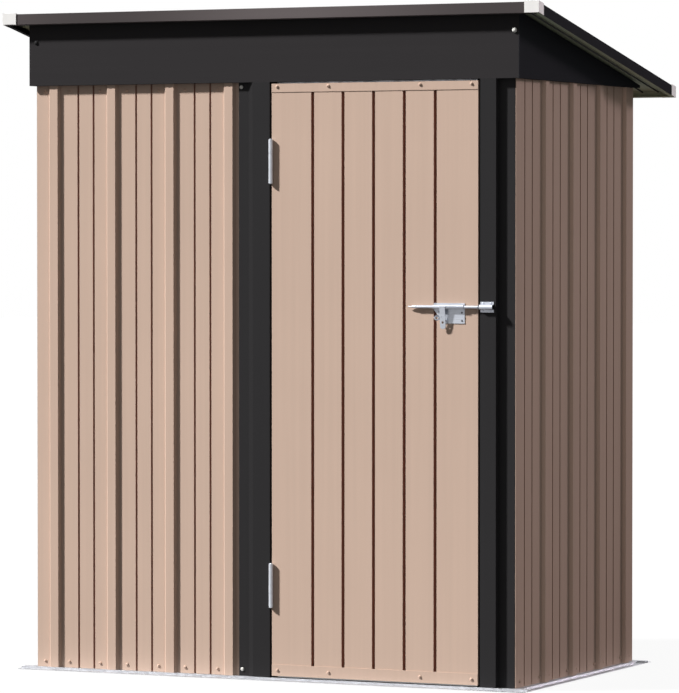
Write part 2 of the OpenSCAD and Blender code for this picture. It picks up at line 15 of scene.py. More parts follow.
import bpy
import numpy as np
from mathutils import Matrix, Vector


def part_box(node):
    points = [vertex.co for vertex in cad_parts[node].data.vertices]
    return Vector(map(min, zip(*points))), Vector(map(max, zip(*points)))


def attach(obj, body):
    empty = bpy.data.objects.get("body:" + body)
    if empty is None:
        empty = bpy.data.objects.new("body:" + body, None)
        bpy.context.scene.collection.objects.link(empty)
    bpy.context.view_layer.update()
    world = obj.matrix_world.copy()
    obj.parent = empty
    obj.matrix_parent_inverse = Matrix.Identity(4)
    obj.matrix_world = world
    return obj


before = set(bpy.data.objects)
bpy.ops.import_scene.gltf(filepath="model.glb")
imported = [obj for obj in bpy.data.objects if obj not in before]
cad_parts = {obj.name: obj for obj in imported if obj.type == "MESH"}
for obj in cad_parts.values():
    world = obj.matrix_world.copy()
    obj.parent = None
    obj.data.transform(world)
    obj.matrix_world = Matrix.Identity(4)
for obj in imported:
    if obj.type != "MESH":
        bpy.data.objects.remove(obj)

LOG = logging.getLogger("shed")
NODES: dict[str, bpy.types.Object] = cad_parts
Rgb = tuple[float, float, float]
Places = list[tuple[float, float, float]]

# reach and shut-sky limit of the painted shade in creases
CREASE_REACH = 0.012
SHUT_SKY = 0.45
UNDERSIDE_TURN = 0.5
RAMP_SLANT = 0.2
RIM_ANGLE = math.radians(42)
NEAR_UPRIGHT = 0.9
DIAGONAL = math.sqrt(0.5)


class Body(Enum):
    """The moving bodies that pieces ride on."""

    SHELL = "shell"
    DOOR = "door"
    BOLT = "bolt"


class Slot(Enum):
    """The record's material slots."""

    TAN = "tan_paint"
    BLACK = "black_paint"
    ZINC = "zinc"
    HARDWARE = "hardware"
    WHITE = "white_plastic"


class Run(Enum):
    """The way that a sheet went through the rolls, as scales that stretch a pattern along it."""

    UPRIGHT = (70.0, 70.0, 1.1)
    ACROSS = (1.1, 70.0, 70.0)
    DEEP = (70.0, 1.1, 70.0)


def linear(red: int, green: int, blue: int) -> Rgb:
    """Turn a screen colour of 0 to 255 into scene-linear light.

    Args:
        red, green, blue: the screen colour's parts.

    Returns:
        The three linear parts, by the usual two-piece screen curve.
    """
    parts = np.array([red, green, blue], float) / 255.0
    low = parts / 12.92
    high = ((parts + 0.055) / 1.055) ** 2.4
    return tuple(float(v) for v in np.where(parts <= 0.04045, low, high))


@dataclass(frozen=True)
class UndersideTone:
    """A plain tone on the faces of a sheet that look one way: the back coat under the roof sheets, and a
    pale tone under the right and back trims that is painted light.

    It lies on faces whose normal has over UNDERSIDE_TURN of the way it looks, of length 1, and begins where
    the place along the outward direction is over the start; before that the face keeps its paint.
    """

    colour: Rgb
    way: Rgb = (0.0, 0.0, -1.0)
    outward: Rgb = (0.0, 0.0, 0.0)
    start: float = -1.0


class Graph:
    """The node tree of a material or of the world."""

    def __init__(self, owner: bpy.types.Material | bpy.types.World) -> None:
        """Start an empty node tree.

        Args:
            owner: the material or the world that the tree belongs to.
        """
        owner.use_nodes = True
        self.owner = owner
        self.tree = owner.node_tree
        self.tree.nodes.clear()

    @classmethod
    def named(cls, name: str) -> "Graph":
        """Start the tree of a new material of that name."""
        return cls(bpy.data.materials.new(name))

    @cached_property
    def coords(self) -> bpy.types.NodeSocket:
        """Give the socket of the piece's own Object coordinates."""
        return self.add("ShaderNodeTexCoord").outputs["Object"]

    def add(self, kind: str, links: dict[str, Any] | None = None, **settings: Any) -> bpy.types.Node:
        """Add a node.

        Args:
            kind: Blender's name of the node type.
            links: values or sockets for the node's inputs, by input name.
            settings: the node's own properties.

        Returns:
            The new node.
        """
        node = self.tree.nodes.new(kind)
        for key, value in settings.items():
            setattr(node, key, value)
        for key, value in (links or {}).items():
            socket = node.inputs[int(key)] if key.isdigit() else node.inputs[key]
            if isinstance(value, bpy.types.NodeSocket):
                self.tree.links.new(value, socket)
            else:
                socket.default_value = value
        return node

    def noise(self, scale: float, detail: float = 2.0, stretch: Rgb | None = None) -> bpy.types.NodeSocket:
        """Add a noise on Object coordinates.

        Args:
            scale: features in a metre.
            detail: finer octaves.
            stretch: scales of the three axes before the noise, or none.

        Returns:
            The noise's value socket, around 0.5.
        """
        source = self.coords
        if stretch is not None:
            source = self.add("ShaderNodeMapping", {"Vector": source, "Scale": stretch}).outputs["Vector"]
        links = {"Vector": source, "Scale": scale, "Detail": detail, "Roughness": 0.55}
        return self.add("ShaderNodeTexNoise", links).outputs["Fac"]

    def spread(self, value: bpy.types.NodeSocket, low: float, high: float) -> bpy.types.NodeSocket:
        """Map a value's middle part, 0.25 to 0.75, to low and high, and return the socket."""
        links = {"Value": value, "From Min": 0.25, "From Max": 0.75, "To Min": low, "To Max": high}
        return self.add("ShaderNodeMapRange", links).outputs["Result"]

    def times(self, one: Any, other: Any) -> bpy.types.NodeSocket:
        """Multiply two values or sockets and return the product's socket."""
        return self.add("ShaderNodeMath", {"0": one, "1": other}, operation="MULTIPLY").outputs["Value"]

    def toned(self, colour: Rgb, tone: bpy.types.NodeSocket) -> bpy.types.NodeSocket:
        """Scale a colour by a tone around 1 and return the colour socket."""
        links = {"0": colour, "Scale": tone}
        return self.add("ShaderNodeVectorMath", links, operation="SCALE").outputs["Vector"]

    def bump(
        self, height: bpy.types.NodeSocket, strength: float, depth: float, edge: float
    ) -> bpy.types.NodeSocket:
        """Bend the normal by a height, over folds rounded a little.

        Args:
            height: the height socket, 0 to 1.
            strength: share of the bump that shows.
            depth: the height's full range in metres.
            edge: radius of the rounded folds in metres, or 0 for none.

        Returns:
            The normal's socket.
        """
        links = {"Height": height, "Strength": strength, "Distance": depth}
        if edge > 0:
            links["Normal"] = self.add("ShaderNodeBevel", {"Radius": edge}, samples=4).outputs["Normal"]
        return self.add("ShaderNodeBump", links).outputs["Normal"]

    def shade_creases(
        self, colour: bpy.types.NodeSocket, crease_shade: Rgb, share: float, clear: float
    ) -> bpy.types.NodeSocket:
        """Paint shade into narrow creases, where the sheet itself leaves little of the sky open within
        CREASE_REACH.

        Args:
            colour: the paint's colour socket.
            crease_shade: the colour of the painted shade in a crease.
            share: how much of it a tight crease takes, where no more than SHUT_SKY of the sky is open.
            clear: the open part of the sky over which the paint stays as it is.

        Returns:
            The mixed colour's socket.
        """
        # painted shade: the less sky the sheet leaves open nearby, the more the crease shade colour takes
        # over
        sky = self.add("ShaderNodeAmbientOcclusion", {"Distance": CREASE_REACH}, samples=8, only_local=True)
        links = {
            "Value": sky.outputs["AO"], "From Min": SHUT_SKY, "From Max": clear,
            "To Min": share, "To Max": 0.0,
        }
        shut = self.add("ShaderNodeMapRange", links).outputs["Result"]
        mixed = self.add("ShaderNodeMixRGB", {"Fac": shut, "Color1": colour, "Color2": (*crease_shade, 1.0)})
        return mixed.outputs["Color"]

    def facing(self) -> bpy.types.NodeSocket:
        """Give the socket of the face's true normal, in the piece's own axes."""
        normal = self.add("ShaderNodeNewGeometry").outputs["True Normal"]
        axes = {"vector_type": "NORMAL", "convert_from": "WORLD", "convert_to": "OBJECT"}
        return self.add("ShaderNodeVectorTransform", {"Vector": normal}, **axes).outputs["Vector"]

    def beyond(self, vector: bpy.types.NodeSocket, way: Rgb, limit: float) -> bpy.types.NodeSocket:
        """Give a socket that is 1 where a vector's part along a way is over a limit, else 0."""
        part = self.add("ShaderNodeVectorMath", {"0": vector, "1": way}, operation="DOT_PRODUCT")
        links = {"0": part.outputs["Value"], "1": limit}
        return self.add("ShaderNodeMath", links, operation="GREATER_THAN").outputs["Value"]

    def lined(self, colour: bpy.types.NodeSocket, underside: UndersideTone) -> bpy.types.NodeSocket:
        """Swap the colour for a plain tone on faces that look its way: the roof's back coat, and painted
        light under the right and back trims.

        Args:
            colour: the paint's colour socket.
            underside: the tone, with its way and where it begins.

        Returns:
            The mixed colour's socket.
        """
        inner = self.beyond(self.facing(), underside.way, UNDERSIDE_TURN)
        shown = self.times(inner, self.beyond(self.coords, underside.outward, underside.start))
        links = {"Fac": shown, "Color1": colour, "Color2": (*underside.colour, 1.0)}
        return self.add("ShaderNodeMixRGB", links).outputs["Color"]

    def shade_ramps(self, tone: float) -> bpy.types.NodeSocket:
        """Paint light or shade on the ramps of upright ribs, by the way they face.

        Args:
            tone: the painted light, over 1, or painted shade, under 1, on faces that stand aslant between X
                and Y, where |nx * ny| is over RAMP_SLANT.

        Returns:
            The tone's socket, 1 on all other faces.
        """
        parts = self.add("ShaderNodeSeparateXYZ", {"Vector": self.facing()}).outputs
        slant = self.add("ShaderNodeMath", {"0": self.times(parts["X"], parts["Y"])}, operation="ABSOLUTE")
        limit = {"0": slant.outputs["Value"], "1": RAMP_SLANT}
        steep = self.add("ShaderNodeMath", limit, operation="GREATER_THAN").outputs["Value"]
        links = {"Value": steep, "To Min": 1.0, "To Max": tone}
        return self.add("ShaderNodeMapRange", links).outputs["Result"]

    def painted_sheen_wave(self, middle: float, period: float, low: float) -> bpy.types.NodeSocket:
        """Paint a sheen: a tone that rises and falls slowly along X.

        It is low + (1 - low) * (1 + cos(2 pi (x - middle) / period)) / 2.

        Args:
            middle: where the tone is 1.
            period: the way from there to the next such place.
            low: the tone halfway.

        Returns:
            The tone's socket.
        """
        across = self.add("ShaderNodeSeparateXYZ", {"Vector": self.coords}).outputs["X"]
        away = self.add("ShaderNodeMath", {"0": across, "1": middle}, operation="SUBTRACT").outputs["Value"]
        turn = self.times(away, 2 * math.pi / period)
        wave = self.add("ShaderNodeMath", {"0": turn}, operation="COSINE").outputs["Value"]
        links = {"Value": wave, "From Min": -1.0, "From Max": 1.0, "To Min": low, "To Max": 1.0}
        return self.add("ShaderNodeMapRange", links).outputs["Result"]

    def close(self, shader: bpy.types.Node) -> bpy.types.Material:
        """Link the shader to the output and return the finished material."""
        self.add("ShaderNodeOutputMaterial", {"Surface": shader.outputs[0]})
        return self.owner


@dataclass(frozen=True)
class SheetPaint:
    """Baked paint on rolled sheet: slow tone drift, faint streaks along the roll, orange peel.

    Narrow creases can take painted shade, rib ramps a painted tone of light or shade, a long face a painted
    sheen that rises and falls slowly along it (its middle, period and lowest tone), and faces that look one
    way a plain tone: a back coat, and painted light under some trims.
    """

    name: str
    colour: Rgb
    run: Run = Run.UPRIGHT
    gloss: float = 0.5
    specular: float = 0.006
    drift: float = 0.025
    drift_scale: float = 2.3
    peel_scale: float = 850.0
    peel_depth: float = 0.00012
    sheen_scale: float = 16.0
    streak: float = 0.027
    edge: float = 0.0010
    # painted shade in creases: its share, its colour and the open sky over which it fades out
    crease: float = 0.0
    crease_shade: Rgb = linear(142, 92, 76)
    crease_clear: float = 0.8
    # painted light or shade on rib ramps, by the way they face; 1 for none
    ramp_shading: float = 1.0
    # painted sheen: a slow wave of lighter tone along X (middle, period, lowest tone)
    painted_sheen: tuple[float, float, float] | None = None
    # plain tone on faces that look one way: a back coat, and painted light under the right and back trims
    underside: UndersideTone | None = None

    def material(self) -> bpy.types.Material:
        """Build the paint.

        Returns:
            A material whose tone is drift times streak around 1, whose roughness wanders by a tenth and
            whose bump is a fine peel plus long shallow roll marks.
        """
        graph = Graph.named(self.name)
        drift = graph.spread(graph.noise(self.drift_scale, 3.0), 1 - self.drift, 1 + self.drift)
        marks = graph.noise(1.0, 3.0, self.run.value)
        streak = graph.spread(marks, 1 - self.streak, 1 + self.streak)
        peel = graph.noise(self.peel_scale, 1.0)
        height = graph.add("ShaderNodeMath", {"0": peel, "1": graph.times(marks, 1.6)}, operation="ADD")
        rough = graph.spread(graph.noise(self.sheen_scale, 4.0), self.gloss - 0.05, self.gloss + 0.05)
        tone = graph.times(drift, streak)
        # painted light or shade on the rib ramps
        if self.ramp_shading != 1.0:
            tone = graph.times(tone, graph.shade_ramps(self.ramp_shading))
        if self.painted_sheen is not None:
            tone = graph.times(tone, graph.painted_sheen_wave(*self.painted_sheen))
        colour = graph.toned(self.colour, tone)
        if self.crease > 0:
            colour = graph.shade_creases(colour, self.crease_shade, self.crease, self.crease_clear)
        if self.underside is not None:
            colour = graph.lined(colour, self.underside)
        shader = graph.add("ShaderNodeBsdfPrincipled", {
            "Base Color": colour,
            "Roughness": rough,
            "Normal": graph.bump(height.outputs["Value"], 0.35, self.peel_depth, self.edge),
            "Specular IOR Level": self.specular,
        })
        return graph.close(shader)


@dataclass(frozen=True)
class Galvanised:
    """Hot-dipped zinc: flat crystals of a fingernail's size, each with its own tone and gloss."""

    name: str
    colour: Rgb
    crystals: float = 95.0
    wall_bend: float = 0.012
    wall_scale: float = 140.0
    cloud_scale: float = 5.0
    grain_scale: float = 1400.0
    grain_depth: float = 0.00008
    edge: float = 0.0008
    gloss: float = 0.5
    metal: float = 0.7

    def material(self) -> bpy.types.Material:
        """Build the zinc.

        Returns:
            A material in which each Voronoi cell, with its walls bent by noise, has a tone and a roughness
            of its own, over fine grain.
        """
        graph = Graph.named(self.name)
        links = {"Vector": graph.coords, "Scale": self.wall_scale, "Detail": 2.0}
        wobble = graph.add("ShaderNodeTexNoise", links).outputs["Color"]
        links = {"Fac": self.wall_bend, "Color1": graph.coords, "Color2": wobble}
        place = graph.add("ShaderNodeMixRGB", links).outputs["Color"]
        cells = graph.add("ShaderNodeTexVoronoi", {"Vector": place, "Scale": self.crystals})
        split = graph.add("ShaderNodeSeparateColor", {"Color": cells.outputs["Color"]}).outputs
        cloud = graph.spread(graph.noise(self.cloud_scale, 4.0), 0.96, 1.03)
        tone = graph.times(graph.spread(split["Red"], 0.93, 1.05), cloud)
        rough = graph.spread(split["Green"], self.gloss - 0.1, self.gloss + 0.1)
        grain = graph.noise(self.grain_scale, 2.0)
        shader = graph.add("ShaderNodeBsdfPrincipled", {
            "Base Color": graph.toned(self.colour, tone),
            "Roughness": rough,
            "Normal": graph.bump(grain, 0.25, self.grain_depth, self.edge),
            "Metallic": self.metal,
        })
        return graph.close(shader)


@dataclass(frozen=True)
class PlatedSteel:
    """Bright plated hardware: fine grain along the pressing and cloudy passivation."""

    name: str
    colour: Rgb
    run: Run = Run.ACROSS
    grain_stretch: float = 12.0
    grain_depth: float = 0.00006
    cloud_scale: float = 60.0
    edge: float = 0.0005
    gloss: float = 0.32
    metal: float = 0.85

    def material(self) -> bpy.types.Material:
        """Build the plating.

        Returns:
            A metal whose tone clouds over centimetres and whose roughness and bump follow grain that is
            drawn out along the run.
        """
        graph = Graph.named(self.name)
        stretch = tuple(self.grain_stretch * v for v in self.run.value)
        grain = graph.noise(1.0, 3.0, stretch)
        cloud = graph.spread(graph.noise(self.cloud_scale, 3.0), 0.9, 1.05)
        shader = graph.add("ShaderNodeBsdfPrincipled", {
            "Base Color": graph.toned(self.colour, cloud),
            "Roughness": graph.spread(grain, self.gloss - 0.08, self.gloss + 0.1),
            "Normal": graph.bump(grain, 0.3, self.grain_depth, self.edge),
            "Metallic": self.metal,
        })
        return graph.close(shader)


@dataclass(frozen=True)
class MouldedPlastic:
    """White moulded plastic with a fine spark texture and a little sink in its tone."""

    name: str
    colour: Rgb
    gloss: float = 0.4
    specular: float = 0.35
    sink_scale: float = 35.0
    sheen_scale: float = 90.0
    pit_scale: float = 1600.0
    pit_depth: float = 0.00006
    edge: float = 0.0010

    def material(self) -> bpy.types.Material:
        """Build the plastic.

        Returns:
            A material with a slow tone drift, a fine pitted bump and a roughness that wanders.
        """
        graph = Graph.named(self.name)
        tone = graph.spread(graph.noise(self.sink_scale, 3.0), 0.97, 1.02)
        rough = graph.spread(graph.noise(self.sheen_scale, 3.0), self.gloss - 0.06, self.gloss + 0.08)
        shader = graph.add("ShaderNodeBsdfPrincipled", {
            "Base Color": graph.toned(self.colour, tone),
            "Roughness": rough,
            "Normal": graph.bump(graph.noise(self.pit_scale, 2.0), 0.3, self.pit_depth, self.edge),
            "Specular IOR Level": self.specular,
        })
        return graph.close(shader)


Finish = SheetPaint | Galvanised | PlatedSteel | MouldedPlastic

TAN_RGB = linear(202, 176, 159)
BLACK_RGB = linear(47, 46, 47)
# pale tone that stands for light on the trims' undersides: painted light
LIT_UNDERSIDE_RGB = linear(198, 208, 184)

ROOF_COAT = UndersideTone(linear(160, 166, 142))
# painted light: the right and back trims' inner faces take the pale tone, the left trim keeps its black
RIGHT_LIT_UNDERSIDE = UndersideTone(LIT_UNDERSIDE_RGB, (-DIAGONAL, 0.0, -DIAGONAL), (1.0, 0.0, 0.0), 0.7814)
REAR_LIT_UNDERSIDE = UndersideTone(LIT_UNDERSIDE_RGB, (0.0, -DIAGONAL, -DIAGONAL), (0.0, 1.0, 0.0), 0.4824)

# crease sets painted shade in the grooves of the walls and the door
TAN_SHEET = SheetPaint("tan_sheet", TAN_RGB, crease=0.9)
# ramp is painted shade on the front's and the posts' ramps and painted light on the right wall's
TAN_FRONT = replace(TAN_SHEET, name="tan_front_sheet", ramp_shading=0.9)
TAN_RIGHT = replace(
    TAN_SHEET, name="tan_right_sheet", crease_shade=linear(96, 54, 42), crease_clear=0.9, ramp_shading=1.35
)
TAN_DOOR = SheetPaint("tan_door_sheet", TAN_RGB, crease=0.97, crease_clear=0.95)
TAN_HEAD = SheetPaint("tan_screw_head", linear(206, 180, 163), drift=0.04, gloss=0.42, edge=0)
BLACK_POST = SheetPaint("black_post_sheet", linear(43, 42, 43), specular=0.06, gloss=0.6, ramp_shading=0.65)
BLACK_FASCIA = SheetPaint(
    "black_fascia_sheet", linear(52, 50, 51), run=Run.ACROSS, specular=0.02, gloss=0.6
)
# the gables' black is a little lighter than the other black: painted light that lifts them in shade
BLACK_GABLE = SheetPaint("black_gable_sheet", linear(50, 51, 55), run=Run.DEEP, specular=0.001, gloss=0.6)
BLACK_ROOF = SheetPaint(
    "black_roof_sheet", BLACK_RGB, run=Run.DEEP, specular=0.05, gloss=0.55, underside=ROOF_COAT
)
BLACK_HEAD = SheetPaint("black_screw_head", BLACK_RGB, specular=0.03, gloss=0.45, edge=0)
# the front trim's grey-brown colour and its slow wave along X are painted sheen, light reflected on black
# paint
TRIM_FRONT_SHEEN = SheetPaint(
    "black_trim_painted_sheen", linear(104, 97, 97), run=Run.ACROSS, specular=0.004, painted_sheen=(0.09, 1.22, 0.54)
)
TRIM_SIDE = SheetPaint("black_trim", linear(50, 50, 54), run=Run.DEEP, specular=0.001)
TRIM_RIGHT = replace(TRIM_SIDE, name="black_trim_right", underside=RIGHT_LIT_UNDERSIDE)
TRIM_BACK = replace(TRIM_SIDE, name="black_trim_back", run=Run.ACROSS, underside=REAR_LIT_UNDERSIDE)
ZINC_RAIL = Galvanised("galvanised_rail", linear(188, 190, 196), metal=0.9)
# a darker copy of the zinc for the front rail: painted shade against the key light on it
ZINC_FRONT_SHADED = replace(ZINC_RAIL, name="galvanised_front_rail_painted_shade", colour=linear(179, 180, 184))
PLATED = PlatedSteel("plated_hardware", linear(194, 198, 207), metal=0.35)
PLATED_PIN = PlatedSteel("plated_hinge", linear(206, 209, 216), run=Run.UPRIGHT, metal=0.35)
DARK_HEAD = PlatedSteel("dark_screw_head", linear(72, 72, 76), metal=0.5)
WHITE_CAP = MouldedPlastic("white_corner_cap", linear(238, 236, 233))
WHITE_HEAD = MouldedPlastic("white_screw_head", linear(232, 230, 224))


def dress(finish: Finish, *names: str) -> None:
    """Give CAD nodes a finish.

    Args:
        finish: the finish to build, once for each finish name.
        names: the nodes.
    """
    material = bpy.data.materials.get(finish.name) or finish.material()
    for name in names:
        piece = NODES[name]
        if not piece.material_slots:
            piece.data.materials.append(material)
        for slot in piece.material_slots:
            slot.material = material
        LOG.info("%s: %s", name, finish.name)


@dataclass
class Surface:
    """A mesh as whole arrays: vertices, and faces of four and three corners."""

    verts: np.ndarray
    quads: np.ndarray
    tris: np.ndarray

    def placed(self, places: np.ndarray, normals: np.ndarray) -> "Surface":
        """Repeat the surface at places, with its Z along each normal.

        Args:
            places: n points.
            normals: n outward directions of length 1.

        Returns:
            One surface of n copies: place + x * side + y * other side + z * normal.
        """
        upright = np.array([[0.0, 0.0, 1.0]])
        across = np.array([[1.0, 0.0, 0.0]])
        helper = np.where(np.abs(normals[:, 2:3]) < NEAR_UPRIGHT, upright, across)
        side = np.cross(helper, normals)
        side /= np.linalg.norm(side, axis=1, keepdims=True)
        axes = np.stack([side, np.cross(normals, side), normals], axis=1)
        verts = places[:, None, :] + np.einsum("vk,nkc->nvc", self.verts, axes)
        step = (np.arange(len(places)) * len(self.verts))[:, None, None]
        return Surface(
            verts.reshape(-1, 3), (self.quads + step).reshape(-1, 4), (self.tris + step).reshape(-1, 3)
        )

    def piece(self, name: str, finish: Finish, body: Body, slot: Slot) -> bpy.types.Object:
        """Make the surface an object that rides on a body.

        Args:
            name: the piece's name.
            finish: its finish.
            body: what it moves with.
            slot: not used.

        Returns:
            The new object, at the origin, shaded smooth with its hard rims kept.
        """
        mesh = bpy.data.meshes.new(name)
        mesh.from_pydata(self.verts.tolist(), [], self.quads.tolist() + self.tris.tolist())
        mesh.update()
        mesh.polygons.foreach_set("use_smooth", np.ones(len(mesh.polygons), dtype=bool))
        mesh.set_sharp_from_angle(angle=RIM_ANGLE)
        mesh.materials.append(bpy.data.materials.get(finish.name) or finish.material())
        thing = bpy.data.objects.new(name, mesh)
        bpy.context.scene.collection.objects.link(thing)
        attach(thing, body.value)
        LOG.info("%s: %d faces, rides on %s", name, len(mesh.polygons), body.value)
        return thing


def revolved(radii: np.ndarray, heights: np.ndarray, steps: int, sunk: np.ndarray | None = None) -> Surface:
    """Turn a profile round Z into a closed surface.

    Ring k and step j give the point (r_k cos t_j, r_k sin t_j, h_k - s_kj), with t_j = 2 pi j / steps.
    The first and last profile points lie on the axis and become one pole vertex each.

    Args:
        radii: the profile's distances from the axis, 0 at both ends.
        heights: its heights, from the top down.
        steps: corners of each ring.
        sunk: depth taken off each ring point, as rings by steps, or none.

    Returns:
        The surface, facing outwards.
    """
    turn = np.linspace(0.0, 2 * np.pi, steps, endpoint=False)
    rings = np.stack([
        radii[1:-1, None] * np.cos(turn), radii[1:-1, None] * np.sin(turn),
        np.broadcast_to(heights[1:-1, None], (len(radii) - 2, steps)),
    ], axis=-1).copy()
    top = heights[0]
    if sunk is not None:
        rings[..., 2] -= sunk
        top = top - sunk.max()
    count = len(radii) - 2
    verts = np.concatenate([[[0, 0, top]], rings.reshape(-1, 3), [[0, 0, heights[-1]]]])
    step = np.arange(steps)
    after = (step + 1) % steps
    level = 1 + steps * np.arange(count - 1)[:, None]
    below = level + steps
    quads = np.stack([level + step, below + step, below + after, level + after], -1).reshape(-1, 4)
    base = 1 + steps * (count - 1)
    lid = np.stack([np.zeros(steps, int), 1 + step, 1 + after], -1)
    foot = np.stack([np.full(steps, len(verts) - 1), base + after, base + step], -1)
    return Surface(verts, quads, np.concatenate([lid, foot]))


@dataclass(frozen=True)
class ScrewHead:
    """A domed head with a tapered cross recess and, where it seals, a washer under it."""

    radius: float = 0.0042
    rise: float = 0.0029
    skirt: float = 0.0007
    washer: float = 0.0
    cross: bool = True
    cross_reach: float = 0.62
    cross_depth: float = 0.75
    cross_power: int = 16
    rooted: float = 0.0002
    steps: int = 24

    def surface(self) -> Surface:
        """Build the head.

        The dome's height over its skirt is rise * sqrt(1 - (r / R)^2). Inside the recess's reach C, a
        share of R, it is lowered by depth * rise * sqrt(1 - r / (C R)) * cos(2 t)^power, four wedges
        that meet in the middle.

        Returns:
            The head with Z outwards and its foot rooted inside the sheet.
        """
        share = np.array([0.0, 0.1, 0.22, 0.36, 0.5, 0.64, 0.78, 0.9, 0.97, 1.0])
        radii = share * self.radius
        heights = self.skirt + self.rise * np.sqrt(np.clip(1 - share**2, 0, 1))
        foot = -self.rooted
        if self.washer > 0:
            radii = np.append(radii, [self.radius, self.washer * 0.97, self.washer, self.washer, 0.0])
            rim = self.skirt * 0.6
            heights = np.append(heights, [rim, rim, rim * 0.6, foot, foot])
        else:
            radii = np.append(radii, [self.radius, 0.0])
            heights = np.append(heights, [foot, foot])
        sunk = None
        if self.cross:
            turn = np.linspace(0.0, 2 * np.pi, self.steps, endpoint=False)
            reach = np.clip(1 - radii[1:-1] / (self.cross_reach * self.radius), 0, 1)
            reach[len(share) - 1:] = 0
            wedges = np.cos(2 * turn) ** self.cross_power
            sunk = self.cross_depth * self.rise * np.sqrt(reach)[:, None] * wedges
        return revolved(radii, heights, self.steps, sunk)

    def row(
        self, name: str, nodes: list[str], starts: Places, way: Rgb, finish: Finish, body: Body, slot: Slot
    ) -> None:
        """Seat a head where each line from a start meets the nodes, and make them one piece.

        Args:
            name: the piece's name.
            nodes: the CAD nodes that may carry a head; the first one met does.
            starts: points outside the sheet.
            way: direction from there to the sheet.
            finish: the heads' finish.
            body: what they ride on.
            slot: the record's slot of the finish.
        """
        seats, normals = [], []
        for start in starts:
            hits = [NODES[n].ray_cast(Vector(start), Vector(way)) for n in nodes]
            near = [h for h in hits if h[0]]
            if not near:
                LOG.warning("%s: no seat under %s", name, start)
                continue
            best = min(near, key=lambda h: (h[1] - Vector(start)).length)
            normal = best[2] if best[2].dot(Vector(way)) < 0 else -best[2]
            seats.append(best[1])
            normals.append(normal)
        heads = self.surface().placed(np.array(seats, float), np.array(normals, float))
        heads.piece(name, finish, body, slot)


SHEET_SCREW = ScrewHead()
POST_SCREW = ScrewHead(radius=0.0053, rise=0.0036)
DOME_SCREW = ScrewHead(radius=0.0068, rise=0.0052, skirt=0.0008, cross=False, steps=32)
LOW_DOME = ScrewHead(radius=0.0060, rise=0.0034, skirt=0.0006, cross=False, steps=32)
ROOF_SCREW = ScrewHead(radius=0.0055, rise=0.0026, skirt=0.0014, washer=0.0085)
LATCH_SCREW = ScrewHead(radius=0.0027, rise=0.0013, skirt=0.0003)
LATCH_RIVET = ScrewHead(radius=0.0025, rise=0.0012, skirt=0.0003, cross=False)


def crossed(columns: list[float], rows: list[float]) -> list[tuple[float, float]]:
    """Give every pair of a column and a row."""
    return [(c, r) for r in rows for c in columns]


@dataclass
class Walls:
    """Front panel, side walls and lapped back wall of ribbed sheet, with their sheet screws."""

    back_sheets: list[str] = field(
        default_factory=lambda: ["back_wall_left", "back_wall_middle", "back_wall_right"]
    )
    front_columns: list[float] = field(
        default_factory=lambda: [-0.6955, -0.6195, -0.5225, -0.4386, -0.3413, -0.2593, -0.1605]
    )
    side_columns: list[float] = field(
        default_factory=lambda: [-0.432, -0.297, -0.232, -0.101, -0.036, 0.095, 0.160, 0.291, 0.356]
    )
    back_columns: list[float] = field(
        default_factory=lambda: [-0.668, -0.587, -0.488, -0.407, -0.308, -0.227, -0.128, -0.047,
                                 0.052, 0.133, 0.232, 0.313, 0.412, 0.493, 0.592, 0.673]
    )
    rows: list[float] = field(default_factory=lambda: [0.0218, 1.6000])
    reach: float = 1.2

    def build(self) -> None:
        """Paint the sheets and seat the tan screws along their feet, and the tops of front and back."""
        dress(TAN_FRONT, "front_wall")
        dress(TAN_SHEET, "left_wall", *self.back_sheets)
        dress(TAN_RIGHT, "right_wall")
        front = [(x, -self.reach, z) for x, z in crossed(self.front_columns, self.rows)]
        left = [(-self.reach, y, self.rows[0]) for y in self.side_columns]
        right = [(self.reach, y, self.rows[0]) for y in self.side_columns]
        back = [(x, self.reach, z) for x, z in crossed(self.back_columns, self.rows)]
        for name, nodes, starts, way in (
            ("front_wall_screws", ["front_wall"], front, (0, 1, 0)),
            ("left_wall_screws", ["left_wall"], left, (1, 0, 0)),
            ("right_wall_screws", ["right_wall"], right, (-1, 0, 0)),
            ("back_wall_screws", self.back_sheets, back, (0, -1, 0)),
        ):
            SHEET_SCREW.row(name, nodes, starts, way, TAN_HEAD, Body.SHELL, Slot.TAN)


@dataclass
class FrontFrame:
    """Black posts beside the door, fascia over it and the two gables."""

    post_screws: tuple[tuple[float, float], ...] = ((-0.0840, 0.024), (-0.0865, 1.604))
    dark_dome: tuple[float, float] = (-0.7130, 1.7355)
    white_dome: tuple[float, float] = (0.7218, 1.742)
    reach: float = 1.2

    def build(self) -> None:
        """Paint the frame and seat its screws, of which the left dome is black and the right one white."""
        dress(BLACK_POST, "door_post_left", "corner_post_right")
        dress(BLACK_FASCIA, "fascia")
        dress(BLACK_GABLE, "gable_left", "gable_right")
        posts = [(x, -self.reach, z) for x, z in self.post_screws]
        post = ["door_post_left"]
        POST_SCREW.row("post_screws", post, posts, (0, 1, 0), WHITE_HEAD, Body.SHELL, Slot.WHITE)
        for name, head, (x, z), finish, slot in (
            ("fascia_dark_dome", LOW_DOME, self.dark_dome, BLACK_HEAD, Slot.BLACK),
            ("fascia_white_dome", DOME_SCREW, self.white_dome, WHITE_HEAD, Slot.WHITE),
        ):
            head.row(name, ["fascia"], [(x, -self.reach, z)], (0, 1, 0), finish, Body.SHELL, slot)


